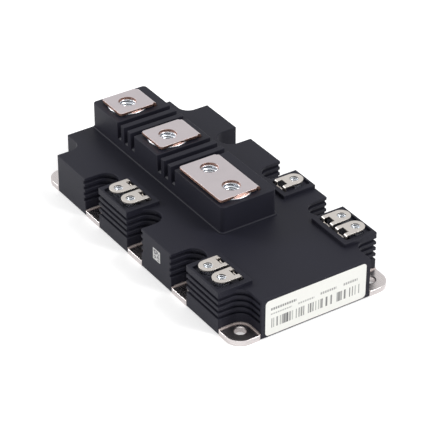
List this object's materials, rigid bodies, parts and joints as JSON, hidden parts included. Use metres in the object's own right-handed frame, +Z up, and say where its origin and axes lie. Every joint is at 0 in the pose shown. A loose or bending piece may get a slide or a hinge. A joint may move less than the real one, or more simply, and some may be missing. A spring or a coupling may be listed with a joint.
{
  "type": "half-bridge igbt power module",
  "caption": "Flat power semiconductor module with a nickel-plated base plate, black moulded housing, slotted terminal tower, screw wells with creepage grooves, and screw terminals on top.",
  "frame": {"origin": "centre of the base plate's bottom face", "axes": "+X along the long axis towards the short end that carries the label, +Y towards the long side with the single auxiliary terminal, +Z up from the heatsink face"},
  "size_m": [0.172, 0.089, 0.038],
  "materials": {
    "nickel_plate": "satin nickel plating over copper",
    "sealant": "satin",
    "housing_plastic": "satin, fine moulded grain",
    "label": "satin",
    "terminal_metal": "satin nickel plating over copper",
    "nut_steel": "zinc-plated",
    "tab_metal": "satin nickel plating",
    "copper": "bare copper",
    "ceramic": "plain",
    "silicon": "metallised",
    "thermistor": "plain"
  },
  "bodies": {
    "root": {"aux_nut_1": "nut_steel", "aux_nut_2": "nut_steel", "aux_nut_3": "nut_steel", "aux_nut_4": "nut_steel", "aux_nut_5": "nut_steel", "aux_nut_6": "nut_steel", "aux_nut_7": "nut_steel", "aux_terminal_1": "tab_metal", "aux_terminal_2": "tab_metal", "aux_terminal_3": "tab_metal", "aux_terminal_4": "tab_metal", "aux_terminal_5": "tab_metal", "aux_terminal_6": "tab_metal", "aux_terminal_7": "tab_metal", "base_plate": "nickel_plate", "busbar_negative": "terminal_metal", "busbar_output": "terminal_metal", "busbar_positive": "terminal_metal", "copper_bottom_1": "copper", "copper_bottom_2": "copper", "copper_bottom_3": "copper", "copper_bottom_4": "copper", "copper_top_1": "copper", "copper_top_2": "copper", "copper_top_3": "copper", "copper_top_4": "copper", "diode_chips_1": "silicon", "diode_chips_2": "silicon", "diode_chips_3": "silicon", "diode_chips_4": "silicon", "end_label": "label", "housing": "housing_plastic", "igbt_chips_1": "silicon", "igbt_chips_2": "silicon", "igbt_chips_3": "silicon", "igbt_chips_4": "silicon", "power_nut_1": "nut_steel", "power_nut_2": "nut_steel", "power_nut_3": "nut_steel", "power_nut_4": "nut_steel", "sealant_bead": "sealant", "substrate_1": "ceramic", "substrate_2": "ceramic", "substrate_3": "ceramic", "substrate_4": "ceramic", "thermistor": "thermistor"}
  },
  "joints": []
}
